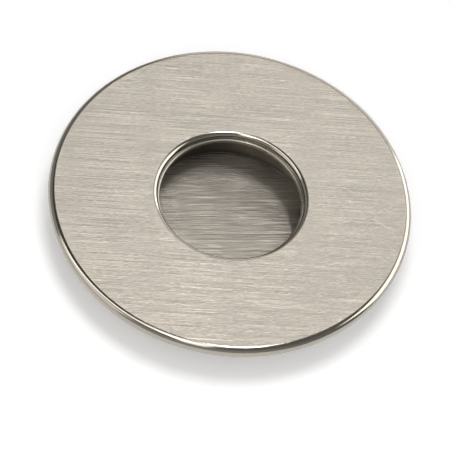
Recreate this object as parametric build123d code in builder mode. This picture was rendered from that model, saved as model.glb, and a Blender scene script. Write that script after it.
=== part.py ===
"""Round flush pull: a flat disc with a finger hole, and a wider drawn cup seated in its back.

The frame's origin is on the axis of the cup, level with the plate's back, which is
the face of the door. +Z points out of the door, towards the hand.
"""
import os

from build123d import *

# Face plate: a round disc that covers the bored hole in the door
plate_diameter = 80.0
plate_thickness = 2.3
rim_round = 1.4  # front edge of the rim
rim_back_round = 0.4  # back edge of the rim

# Finger hole through the middle of the plate, with a thin lip at its back
hole_diameter = 32.2
hole_round = 1.05  # front edge of the hole
lip_step = 0.5  # the lip stands this far inside the hole
lip_thickness = 0.7
lip_round = 0.4  # front edge of the lip
least_land = 0.05  # straight wall that is always left beside a round

# Recess cup: one sheet, drawn to a cup with an out-turned flange
sheet = 0.7
cup_diameter = 39.6  # outside, for a bored hole of 40 mm
recess_depth = 11.0  # from the plate's front to the cup's floor
floor_corner = 0.4  # inside round between the wall and the floor
flange_bend = 0.1  # hidden round between the wall and the flange's back
flange_width = 4.2

# Seat for the flange in the plate's back
seat_clearance = 0.1  # on both sides of the flange

plate_radius = plate_diameter / 2
hole_radius = hole_diameter / 2
lip_radius = hole_radius - lip_step
cup_inside_radius = cup_diameter / 2 - sheet
flange_radius = cup_diameter / 2 + flange_width
floor_height = plate_thickness - recess_depth

os.makedirs("parts", exist_ok=True)

# The disc is flat on both sides. The rim, the hole and the lip are rounded towards the
# front. The seat in its back is a ring as deep as the flange is thick, so the back is flush.
with BuildPart() as face_plate:
    with BuildSketch():
        Circle(plate_radius)
        Circle(lip_radius, mode=Mode.SUBTRACT)
    extrude(amount=plate_thickness)
    with BuildSketch(Plane.XY.offset(lip_thickness)):
        Circle(hole_radius)
    extrude(amount=plate_thickness - lip_thickness, mode=Mode.SUBTRACT)
    back, lip, front = face_plate.faces().filter_by(Axis.Z).sort_by(Axis.Z)
    hole_front, rim_front = front.edges().sort_by(SortBy.RADIUS)
    lip_front = lip.edges().sort_by(SortBy.RADIUS)[0]
    rim_back = back.edges().sort_by(SortBy.RADIUS)[-1]
    fillet(rim_front, min(rim_round, plate_thickness - rim_back_round - least_land))
    fillet(rim_back, rim_back_round)
    fillet(hole_front, min(hole_round, plate_thickness - lip_thickness - least_land))
    fillet(lip_front, min(lip_round, lip_step - least_land, lip_thickness - least_land))
    with BuildSketch():
        Circle(flange_radius + seat_clearance)
        Circle(cup_inside_radius - seat_clearance, mode=Mode.SUBTRACT)
    extrude(amount=sheet, mode=Mode.SUBTRACT)
face_plate.part.label = "face_plate"
export_step(face_plate.part, "parts/face_plate.step")

# The cup is the inside line of the sheet, from the middle of the floor up the wall and
# out along the flange, thickened to the outside and turned about the axis.
with BuildPart() as recess_cup:
    with BuildSketch(Plane.XZ):
        with BuildLine():
            FilletPolyline(
                (0, floor_height),
                (cup_inside_radius, floor_height),
                (cup_inside_radius, sheet),
                (flange_radius, sheet),
                radius=(floor_corner, sheet + flange_bend),
            )
            offset(amount=sheet, side=Side.RIGHT)
        make_face()
    revolve(axis=Axis.Z)
recess_cup.part.label = "recess_cup"
export_step(recess_cup.part, "parts/recess_cup.step")
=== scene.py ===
"""Round flush pull in brushed nickel, lying face up on its cup on a white table.

Sizes are in metres. The origin is on the axis of the cup, level with the plate's back, and
+Z points out of the door, towards the hand.
"""
import math

import bpy
from mathutils import Matrix, Vector


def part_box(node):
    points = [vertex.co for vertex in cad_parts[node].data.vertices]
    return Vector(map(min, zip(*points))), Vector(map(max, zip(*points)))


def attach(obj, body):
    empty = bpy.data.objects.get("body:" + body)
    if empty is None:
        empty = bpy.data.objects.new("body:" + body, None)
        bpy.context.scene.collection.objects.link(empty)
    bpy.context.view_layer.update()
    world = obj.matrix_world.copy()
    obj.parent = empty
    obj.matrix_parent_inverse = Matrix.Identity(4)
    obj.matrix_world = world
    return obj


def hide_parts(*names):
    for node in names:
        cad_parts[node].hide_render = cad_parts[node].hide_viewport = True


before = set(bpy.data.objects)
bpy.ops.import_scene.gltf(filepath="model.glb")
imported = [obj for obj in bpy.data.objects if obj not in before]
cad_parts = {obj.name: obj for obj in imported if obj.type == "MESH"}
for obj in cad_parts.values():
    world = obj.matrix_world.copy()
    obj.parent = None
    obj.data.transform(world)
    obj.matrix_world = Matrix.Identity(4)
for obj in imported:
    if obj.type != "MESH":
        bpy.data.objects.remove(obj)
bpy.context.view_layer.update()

# Face plate.
# A flat disc of plated metal that covers the bored hole in the door. Its front is brushed in
# straight lines, its rim and finger hole are rounded and smooth, and its back seats the cup.
plate_low, plate_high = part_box("face_plate")
plate_radius = plate_high.x
plate_thickness = plate_high.z - plate_low.z
rim_round = 0.0014
rim_steps = 16
rim_back_round = 0.0004
rim_back_steps = 6
hole_radius = 0.0161
hole_round = 0.00105
hole_steps = 14
lip_radius = 0.0156
lip_height = 0.0007
lip_round = 0.0004
lip_steps = 8
seat_outer_radius = 0.0241
seat_inner_radius = 0.0190
seat_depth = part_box("recess_cup")[1].z

plate_stroke = 0.0070  # length of one stroke of the brush
plate_turn = 0  # the strokes run along X
plate_line_dark = (0.345, 0.317, 0.273, 1)
plate_line_light = (0.7, 0.639, 0.552, 1)
# The rounds' colour is darker than the nickel of the face: painted shade that dims what they
# mirror.
shaded_edge_colour = (0.41, 0.375, 0.323, 1)
edge_roughness = 0.12
# The lip is darker again: painted shade that dims its bright line. Its roughness is a duller
# finish.
shaded_lip_colour = (0.34, 0.311, 0.268, 1)
lip_roughness = 0.3

ring_steps = 288  # short sides that make a full circle
same_place = 2e-5  # points nearer than this are taken as one place
hair = 1e-5  # room left beside a height or a radius
merge_distance = 1e-6
sharp_angle = math.radians(40)
faces_up = 0.9  # least upward part of the normal of a face that looks up
true_flat = 0.999  # the same for a face that is quite level


def pick(mesh_object, kind, wanted):
    """Selects only the faces or edges whose middle point and direction are the wanted ones."""
    bpy.ops.object.mode_set(mode="EDIT")
    bpy.ops.mesh.select_mode(type=kind)
    bpy.ops.mesh.select_all(action="DESELECT")
    bpy.ops.object.mode_set(mode="OBJECT")
    mesh = mesh_object.data
    if kind == "FACE":
        for face in mesh.polygons:
            ring = sum(mesh.vertices[i].co.xy.length for i in face.vertices) / len(face.vertices)
            face.select = wanted(ring, face.center.z, face.normal.z)
    else:
        for edge in mesh.edges:
            ends = [mesh.vertices[i].co for i in edge.vertices]
            middle = (ends[0] + ends[1]) / 2
            edge.select = wanted(middle.xy.length, middle.z, abs(ends[1].z - ends[0].z))
    bpy.ops.object.mode_set(mode="EDIT")


def near(value, target):
    """Tells whether two lengths are the same but for rounding."""
    return abs(value - target) < same_place


def round_edge(mesh_object, radius, height, size, steps):
    """Rounds the ring of edges that lies at this radius and height."""
    pick(
        mesh_object,
        "EDGE",
        lambda ring, z, rise: near(ring, radius) and near(z, height) and near(rise, 0),
    )
    bpy.ops.mesh.bevel(offset=size, segments=steps, affect="EDGES")
    bpy.ops.object.mode_set(mode="OBJECT")


def finish_mesh(mesh_object):
    """Turns the faces outwards and shades rounds smooth beside true flats."""
    bpy.ops.object.mode_set(mode="EDIT")
    bpy.ops.mesh.select_all(action="SELECT")
    bpy.ops.mesh.remove_doubles(threshold=merge_distance)
    bpy.ops.mesh.normals_make_consistent(inside=False)
    bpy.ops.object.mode_set(mode="OBJECT")
    bpy.ops.object.shade_smooth_by_angle(angle=sharp_angle)
    flats = mesh_object.modifiers.new("true_flats", "WEIGHTED_NORMAL")
    flats.keep_sharp = True
    bpy.ops.object.modifier_apply(modifier=flats.name)


bpy.ops.object.select_all(action="DESELECT")
bpy.ops.mesh.primitive_cylinder_add(
    vertices=ring_steps,
    radius=plate_radius,
    depth=plate_thickness,
    location=(0, 0, plate_low.z + plate_thickness / 2),
)
face_plate = bpy.context.active_object
face_plate.name = "brushed_plate"
bpy.ops.object.transform_apply(location=True, rotation=True, scale=True)

# The seat ring in the back, with the lip's edge inside it.
pick(face_plate, "FACE", lambda ring, z, facing: facing < -faces_up)
bpy.ops.mesh.inset(thickness=plate_radius - seat_outer_radius)
bpy.ops.mesh.inset(thickness=seat_outer_radius - seat_inner_radius)
bpy.ops.mesh.inset(thickness=seat_inner_radius - lip_radius)
bpy.ops.object.mode_set(mode="OBJECT")
pick(
    face_plate,
    "FACE",
    lambda ring, z, facing: facing < -faces_up and seat_inner_radius < ring < seat_outer_radius,
)
bpy.ops.mesh.extrude_region_move(TRANSFORM_OT_translate={"value": (0, 0, seat_depth)})
bpy.ops.object.mode_set(mode="OBJECT")

# The finger hole from the front, down to the lip, then through the middle of the lip.
pick(face_plate, "FACE", lambda ring, z, facing: facing > faces_up)
bpy.ops.mesh.inset(thickness=plate_radius - hole_radius)
bpy.ops.mesh.extrude_region_move(
    TRANSFORM_OT_translate={"value": (0, 0, lip_height - plate_high.z)}
)
bpy.ops.mesh.inset(thickness=hole_radius - lip_radius)
bpy.ops.object.mode_set(mode="OBJECT")
pick(
    face_plate,
    "FACE",
    lambda ring, z, facing: abs(facing) > faces_up and ring < lip_radius + hair,
)
bpy.ops.mesh.bridge_edge_loops()
bpy.ops.object.mode_set(mode="OBJECT")
round_edge(face_plate, plate_radius, plate_high.z, rim_round, rim_steps)
round_edge(face_plate, plate_radius, plate_low.z, rim_back_round, rim_back_steps)
round_edge(face_plate, hole_radius, plate_high.z, hole_round, hole_steps)
round_edge(face_plate, lip_radius, lip_height, lip_round, lip_steps)
finish_mesh(face_plate)

# The brush leaves short, middling and long fine lines, bunched into broader bands.
line_width = 0.00009
long_line_width = 0.00011
band_width = 0.004
short_line = 0.16  # lengths of the lines, in strokes of the brush
middle_line = 2.5
long_line = 20.0
middle_share = 0.6
long_share = 0.32
darkest_noise = 0.42
lightest_noise = 0.58
line_depth = 0.00002

grain = bpy.data.node_groups.new("brushed_grain", "ShaderNodeTree")
grain.interface.new_socket("Place", in_out="INPUT", socket_type="NodeSocketVector")
grain.interface.new_socket("Stroke", in_out="INPUT", socket_type="NodeSocketFloat")
grain.interface.new_socket("Lines", in_out="OUTPUT", socket_type="NodeSocketFloat")
grain.interface.new_socket("Bands", in_out="OUTPUT", socket_type="NodeSocketFloat")
grain.interface.new_socket("Normal", in_out="OUTPUT", socket_type="NodeSocketVector")
group_in = grain.nodes.new("NodeGroupInput")
group_out = grain.nodes.new("NodeGroupOutput")


def brush_noise(strokes_long, width):
    """Noise drawn out along X, so many strokes long and of this width."""
    length = grain.nodes.new("ShaderNodeMath")
    length.operation = "DIVIDE"
    length.inputs[0].default_value = 1 / strokes_long
    grain.links.new(group_in.outputs["Stroke"], length.inputs[1])
    stretch = grain.nodes.new("ShaderNodeCombineXYZ")
    stretch.inputs["Y"].default_value = 1 / width
    grain.links.new(length.outputs["Value"], stretch.inputs["X"])
    drawn_out = grain.nodes.new("ShaderNodeVectorMath")
    drawn_out.operation = "MULTIPLY"
    grain.links.new(group_in.outputs["Place"], drawn_out.inputs[0])
    grain.links.new(stretch.outputs["Vector"], drawn_out.inputs[1])
    noise = grain.nodes.new("ShaderNodeTexNoise")
    noise.inputs["Scale"].default_value = 1.0
    noise.inputs["Detail"].default_value = 1.0
    grain.links.new(drawn_out.outputs["Vector"], noise.inputs["Vector"])
    return noise.outputs["Fac"]


def blend(first, second, share):
    """Mixes two values, with this share of the second."""
    mix = grain.nodes.new("ShaderNodeMix")
    mix.inputs["Factor"].default_value = share
    grain.links.new(first, mix.inputs["A"])
    grain.links.new(second, mix.inputs["B"])
    return mix.outputs["Result"]


short_lines = brush_noise(short_line, line_width)
middle_lines = brush_noise(middle_line, line_width)
long_lines = brush_noise(long_line, long_line_width)
shorter_lines = blend(short_lines, middle_lines, middle_share)
contrast = grain.nodes.new("ShaderNodeMapRange")
contrast.inputs["From Min"].default_value = darkest_noise
contrast.inputs["From Max"].default_value = lightest_noise
grain.links.new(blend(shorter_lines, long_lines, long_share), contrast.inputs["Value"])
grain.links.new(contrast.outputs["Result"], group_out.inputs["Lines"])
grain.links.new(brush_noise(long_line, band_width), group_out.inputs["Bands"])
relief = grain.nodes.new("ShaderNodeBump")
relief.inputs["Distance"].default_value = line_depth
grain.links.new(contrast.outputs["Result"], relief.inputs["Height"])
grain.links.new(relief.outputs["Normal"], group_out.inputs["Normal"])

brushed_roughness = 0.33
brushed_wear = 0.03  # the lines are smoother or rougher by this
brushed_stretch = 0.93  # how far a light is drawn out across the lines
band_strength = 0.02
low_noise = 0.3  # usual range of plain noise
high_noise = 0.7
haze_scale = 400.0
haze_detail = 2.0
haze_strength = 0.15


def brushed_nickel(name, stroke, turn, line_dark, line_light):
    """Nickel brushed along X, or turned from it by this angle."""
    material = bpy.data.materials.new(name)
    material.use_nodes = True
    nodes = material.node_tree.nodes
    links = material.node_tree.links
    shader = nodes["Principled BSDF"]
    shader.inputs["Metallic"].default_value = 1.0
    shader.inputs["Anisotropic"].default_value = brushed_stretch
    across = nodes.new("ShaderNodeCombineXYZ")
    across.inputs["X"].default_value = -math.sin(turn)
    across.inputs["Y"].default_value = math.cos(turn)
    links.new(across.outputs["Vector"], shader.inputs["Tangent"])

    place = nodes.new("ShaderNodeTexCoord")
    along = nodes.new("ShaderNodeMapping")
    along.inputs["Rotation"].default_value = (0, 0, -turn)
    links.new(place.outputs["Object"], along.inputs["Vector"])
    brush = nodes.new("ShaderNodeGroup")
    brush.node_tree = grain
    brush.inputs["Stroke"].default_value = stroke
    links.new(along.outputs["Vector"], brush.inputs["Place"])
    links.new(brush.outputs["Normal"], shader.inputs["Normal"])

    lines = nodes.new("ShaderNodeMix")
    lines.data_type = "RGBA"
    lines.inputs["A"].default_value = line_dark
    lines.inputs["B"].default_value = line_light
    links.new(brush.outputs["Lines"], lines.inputs["Factor"])
    bands = nodes.new("ShaderNodeMapRange")
    bands.inputs["From Min"].default_value = low_noise
    bands.inputs["From Max"].default_value = high_noise
    bands.inputs["To Min"].default_value = 1 - band_strength
    bands.inputs["To Max"].default_value = 1 + band_strength
    links.new(brush.outputs["Bands"], bands.inputs["Value"])
    banded = nodes.new("ShaderNodeVectorMath")
    banded.operation = "SCALE"
    links.new(lines.outputs["Result"], banded.inputs["Vector"])
    links.new(bands.outputs["Result"], banded.inputs["Scale"])
    links.new(banded.outputs["Vector"], shader.inputs["Base Color"])

    worn = nodes.new("ShaderNodeMapRange")
    worn.inputs["To Min"].default_value = brushed_roughness - brushed_wear
    worn.inputs["To Max"].default_value = brushed_roughness + brushed_wear
    links.new(brush.outputs["Lines"], worn.inputs["Value"])
    links.new(worn.outputs["Result"], shader.inputs["Roughness"])
    return material


def plain_nickel(name, colour, roughness):
    """Nickel without brush lines, a little uneven in its shine."""
    material = bpy.data.materials.new(name)
    material.use_nodes = True
    nodes = material.node_tree.nodes
    links = material.node_tree.links
    shader = nodes["Principled BSDF"]
    shader.inputs["Base Color"].default_value = colour
    shader.inputs["Metallic"].default_value = 1.0
    place = nodes.new("ShaderNodeTexCoord")
    haze = nodes.new("ShaderNodeTexNoise")
    haze.inputs["Scale"].default_value = haze_scale
    haze.inputs["Detail"].default_value = haze_detail
    links.new(place.outputs["Object"], haze.inputs["Vector"])
    shine = nodes.new("ShaderNodeMapRange")
    shine.inputs["From Min"].default_value = low_noise
    shine.inputs["From Max"].default_value = high_noise
    shine.inputs["To Min"].default_value = roughness * (1 - haze_strength)
    shine.inputs["To Max"].default_value = roughness * (1 + haze_strength)
    links.new(haze.outputs["Fac"], shine.inputs["Value"])
    links.new(shine.outputs["Result"], shader.inputs["Roughness"])
    return material


def paint(mesh_object, material, wanted):
    """Adds a material to the piece and gives it to the wanted faces."""
    mesh_object.data.materials.append(material)
    pick(mesh_object, "FACE", wanted)
    mesh_object.active_material_index = len(mesh_object.data.materials) - 1
    bpy.ops.object.material_slot_assign()
    bpy.ops.object.mode_set(mode="OBJECT")


face_plate.data.materials.append(
    brushed_nickel("plate_nickel", plate_stroke, plate_turn, plate_line_dark, plate_line_light)
)
# The rounds and every face below the front get the darker nickel, with its painted shade.
paint(
    face_plate,
    plain_nickel("shaded_edge_nickel", shaded_edge_colour, edge_roughness),
    lambda ring, z, facing: facing < true_flat or z < plate_high.z - hair,
)
# The lip inside the hole, with its painted shade.
paint(
    face_plate,
    plain_nickel("shaded_lip_nickel", shaded_lip_colour, lip_roughness),
    lambda ring, z, facing: ring < hole_radius and z < lip_height + hair,
)
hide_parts("face_plate")
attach(face_plate, "root")

# Recess cup.
# One sheet of plated metal, drawn to a cup with an out-turned flange that is bonded in the seat in
# the plate's back. Its flat floor is brushed, a little askew to the plate, and its wall is plain.
# The wall and the floor's corner are coloured dark as painted shade.
cup_low, cup_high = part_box("recess_cup")
sheet = cup_high.z
cup_inside_radius = 0.0191
flange_radius = cup_high.x
floor_height = cup_low.z + sheet
floor_corner = 0.0004
corner_steps = 8
mouth_round = 0.0008
mouth_steps = 12
true_upright = 0.001  # most upward part of the normal of a wall

floor_stroke = 0.0500
floor_turn = math.radians(4.2)
floor_line_dark = (0.13, 0.119, 0.102, 1)
floor_line_light = (0.79, 0.721, 0.622, 1)
# The wall is far darker than nickel: painted shade that stands in for the shade inside the recess.
shaded_wall_colour = (0.17, 0.155, 0.134, 1)
wall_roughness = 0.35
# The floor's corner is as dark as the shadow beside it: painted shade, so no line shows there.
shaded_corner_colour = (0.14, 0.128, 0.110, 1)
corner_roughness = 0.6
sheet_colour = (0.40, 0.366, 0.316, 1)
sheet_roughness = 0.3

bpy.ops.object.select_all(action="DESELECT")
bpy.ops.mesh.primitive_circle_add(
    vertices=ring_steps,
    radius=cup_inside_radius,
    fill_type="NGON",
    location=(0, 0, floor_height),
)
recess_cup = bpy.context.active_object
recess_cup.name = "drawn_cup"
bpy.ops.object.transform_apply(location=True, rotation=True, scale=True)

# The wall is drawn up from the floor's edge, and the flange out from the wall's top.
flange_spread = flange_radius / cup_inside_radius
pick(recess_cup, "EDGE", lambda ring, z, rise: True)
bpy.ops.mesh.extrude_edges_move(
    TRANSFORM_OT_translate={"value": (0, 0, cup_high.z - floor_height)}
)
bpy.ops.mesh.extrude_edges_move(TRANSFORM_OT_translate={"value": (0, 0, 0)})
bpy.ops.transform.resize(value=(flange_spread, flange_spread, 1), center_override=(0, 0, 0))
bpy.ops.object.mode_set(mode="OBJECT")
round_edge(recess_cup, cup_inside_radius, floor_height, floor_corner, corner_steps)
round_edge(recess_cup, cup_inside_radius, cup_high.z, mouth_round, mouth_steps)

# The sheet gets its thickness away from the hand, so the floor has to look up first.
bpy.ops.object.mode_set(mode="EDIT")
bpy.ops.mesh.select_all(action="SELECT")
bpy.ops.mesh.normals_make_consistent(inside=False)
bpy.ops.object.mode_set(mode="OBJECT")
if max(recess_cup.data.polygons, key=lambda face: face.area).normal.z < 0:
    bpy.ops.object.mode_set(mode="EDIT")
    bpy.ops.mesh.flip_normals()
    bpy.ops.object.mode_set(mode="OBJECT")
wall = recess_cup.modifiers.new("sheet", "SOLIDIFY")
wall.thickness = sheet
wall.offset = -1
wall.use_even_offset = True
bpy.ops.object.modifier_apply(modifier=wall.name)
finish_mesh(recess_cup)

recess_cup.data.materials.append(
    brushed_nickel("cup_nickel", floor_stroke, floor_turn, floor_line_dark, floor_line_light)
)
# The inside wall gets the dark nickel with its painted shade.
paint(
    recess_cup,
    plain_nickel("shaded_wall_nickel", shaded_wall_colour, wall_roughness),
    lambda ring, z, facing: facing < true_flat or ring > cup_inside_radius,
)
# The floor's corner gets the dark nickel with its painted shade.
paint(
    recess_cup,
    plain_nickel("shaded_corner_nickel", shaded_corner_colour, corner_roughness),
    lambda ring, z, facing: true_upright < facing < true_flat
    and floor_height < z < floor_height + floor_corner,
)
paint(
    recess_cup,
    plain_nickel("sheet_nickel", sheet_colour, sheet_roughness),
    lambda ring, z, facing: ring > cup_inside_radius + sheet / 2 or z < floor_height - hair,
)
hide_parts("recess_cup")
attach(recess_cup, "root")

# Table.
# A plain white surface that the pull lies on, cup down. It glows a little, but only where the
# camera or the metal sees it, so that it shows white there and keeps the pull's soft shadow.
table_width = 6
table_colour = (0.95, 0.95, 0.95, 1)
table_roughness = 0.9
table_glow = 0.27

bpy.ops.object.select_all(action="DESELECT")
bpy.ops.mesh.primitive_plane_add(size=table_width, location=(0, 0, cup_low.z))
table = bpy.context.active_object
table.name = "table"
table_white = bpy.data.materials.new("table_white")
table_white.use_nodes = True
table_nodes = table_white.node_tree.nodes
table_links = table_white.node_tree.links
table_shader = table_nodes["Principled BSDF"]
table_shader.inputs["Base Color"].default_value = table_colour
table_shader.inputs["Roughness"].default_value = table_roughness
table_shader.inputs["Specular IOR Level"].default_value = 0.0
table_shader.inputs["Emission Color"].default_value = (1, 1, 1, 1)
ray = table_nodes.new("ShaderNodeLightPath")
seen = table_nodes.new("ShaderNodeMath")
seen.operation = "MAXIMUM"
table_links.new(ray.outputs["Is Camera Ray"], seen.inputs[0])
table_links.new(ray.outputs["Is Glossy Ray"], seen.inputs[1])
glow = table_nodes.new("ShaderNodeMath")
glow.operation = "MULTIPLY"
glow.inputs[1].default_value = table_glow
table_links.new(seen.outputs["Value"], glow.inputs[0])
table_links.new(glow.outputs["Value"], table_shader.inputs["Emission Strength"])
table.data.materials.append(table_white)

# Camera.
# A long lens that looks down on the face from a little to its side, and is rolled. It stands
# where the disc and its hole have the same outlines as in the photograph.
camera_azimuth = math.radians(-10.5)
camera_elevation = math.radians(54.9)
camera_roll = math.radians(12.12)
camera_distance = 0.580
camera_lens = 211.5
nearest_seen = 0.01
plate_right_of_centre = 0.0012
plate_above_centre = 0.00682

plate_front = Vector((0, 0, plate_high.z))
towards_camera = Vector(
    (
        math.sin(camera_azimuth) * math.cos(camera_elevation),
        -math.cos(camera_azimuth) * math.cos(camera_elevation),
        math.sin(camera_elevation),
    )
)
level = Vector((math.cos(camera_azimuth), math.sin(camera_azimuth), 0))
upright = towards_camera.cross(level)
right = level * math.cos(camera_roll) + upright * math.sin(camera_roll)
up = upright * math.cos(camera_roll) - level * math.sin(camera_roll)
camera_place = plate_front + towards_camera * camera_distance
aim = plate_front - right * plate_right_of_centre - up * plate_above_centre
back = (camera_place - aim).normalized()
side = up.cross(back).normalized()
facing = Matrix((side, back.cross(side), back)).transposed().to_4x4()
camera = bpy.data.objects.new("camera", bpy.data.cameras.new("camera"))
camera.data.lens = camera_lens
camera.data.clip_start = nearest_seen
camera.matrix_world = Matrix.Translation(camera_place) @ facing
bpy.context.scene.collection.objects.link(camera)
bpy.context.scene.camera = camera

# Studio light.
# Soft panels, hung over the table or stood round it, that only the metal mirrors. Two lamps light
# the table alone, and a dim sky, darker overhead, fills in the rest.
away_from_camera = Vector((-math.sin(camera_azimuth), math.cos(camera_azimuth), 0))


def studio(sideways, away, height):
    """A place given from the camera's side: to its right, away from it, and up."""
    return level * sideways + away_from_camera * away + Vector((0, 0, height))


def softbox(name, place, width, height, radiance, hung=False, turn=0, in_metal=True):
    """A soft panel that faces the pull, or straight down where it is hung over the table."""
    target = Vector((place.x, place.y, 0)) if hung else Vector((0, 0, 0))
    lamp = bpy.data.lights.new(name, "AREA")
    lamp.shape = "RECTANGLE"
    lamp.size = width
    lamp.size_y = height
    lamp.energy = radiance * math.pi * width * height
    box = bpy.data.objects.new(name, lamp)
    box.location = place
    box.rotation_euler = (target - place).to_track_quat("-Z", "Y").to_euler()
    box.rotation_euler.rotate_axis("Z", turn)
    box.visible_camera = False
    box.visible_glossy = in_metal
    box.visible_diffuse = not in_metal
    bpy.context.scene.collection.objects.link(box)


softbox(
    "left_panel",
    studio(-0.45, -0.11, 0.7),
    width=0.94,
    height=0.28,
    radiance=2.4,
    hung=True,
    turn=math.radians(-27.8),
)
softbox(
    "near_panel",
    studio(-0.04, -0.33, 0.71),
    width=0.18,
    height=0.82,
    radiance=1.9,
    hung=True,
    turn=camera_azimuth,
)
softbox("face_panel", studio(0.062, 0.16, 0.69), width=0.07, height=0.28, radiance=12.4, hung=True)
softbox("left_low_panel", studio(-0.83, -0.35, 0.46), width=0.86, height=0.7, radiance=0.9)
softbox("far_panel", studio(0.02, 0.55, 0.68), width=0.5, height=0.3, radiance=0.8)
softbox("far_low_panel", studio(0.2, 0.93, 0.3), width=0.9, height=0.62, radiance=1.05)
softbox("right_panel", studio(0.82, 0.47, 0.52), width=1.2, height=0.9, radiance=2.6)
softbox(
    "table_light", studio(0, 0.02, 0.7), width=0.26, height=0.26, radiance=10.0, in_metal=False
)
softbox(
    "table_fill", studio(0.05, -0.4, 0.7), width=0.8, height=0.6, radiance=1.3, in_metal=False
)

sky_blend = 0.6  # how far to each side of the room the sky goes on changing
dusk_start = 0.58  # heights between which the low sky turns into the high one
dusk_end = 0.72
sky = bpy.data.worlds.new("sky")
sky.use_nodes = True
sky_nodes = sky.node_tree.nodes
sky_links = sky.node_tree.links
heading = sky_nodes.new("ShaderNodeTexCoord")
sky_height = sky_nodes.new("ShaderNodeSeparateXYZ")
sky_links.new(heading.outputs["Generated"], sky_height.inputs["Vector"])


def sky_level(towards, near_level, far_level):
    """A light level that changes from one side of the room to the other."""
    room_side = sky_nodes.new("ShaderNodeVectorMath")
    room_side.operation = "DOT_PRODUCT"
    room_side.inputs[1].default_value = towards
    sky_links.new(heading.outputs["Generated"], room_side.inputs[0])
    level_range = sky_nodes.new("ShaderNodeMapRange")
    level_range.inputs["From Min"].default_value = -sky_blend
    level_range.inputs["From Max"].default_value = sky_blend
    level_range.inputs["To Min"].default_value = near_level
    level_range.inputs["To Max"].default_value = far_level
    sky_links.new(room_side.outputs["Value"], level_range.inputs["Value"])
    return level_range.outputs["Result"]


low_sky = sky_level(studio(0.7, 0.7, 0), near_level=0.45, far_level=0.2)
high_sky = sky_level(studio(-0.7, 0.7, 0), near_level=0.2, far_level=0.08)
dusk = sky_nodes.new("ShaderNodeMapRange")
dusk.inputs["From Min"].default_value = dusk_start
dusk.inputs["From Max"].default_value = dusk_end
sky_links.new(sky_height.outputs["Z"], dusk.inputs["Value"])
sky_links.new(low_sky, dusk.inputs["To Min"])
sky_links.new(high_sky, dusk.inputs["To Max"])
sky_links.new(dusk.outputs["Result"], sky_nodes["Background"].inputs["Strength"])
sky_nodes["Background"].inputs["Color"].default_value = (1, 1, 1, 1)
bpy.context.scene.world = sky
bpy.context.scene.view_settings.view_transform = "Standard"
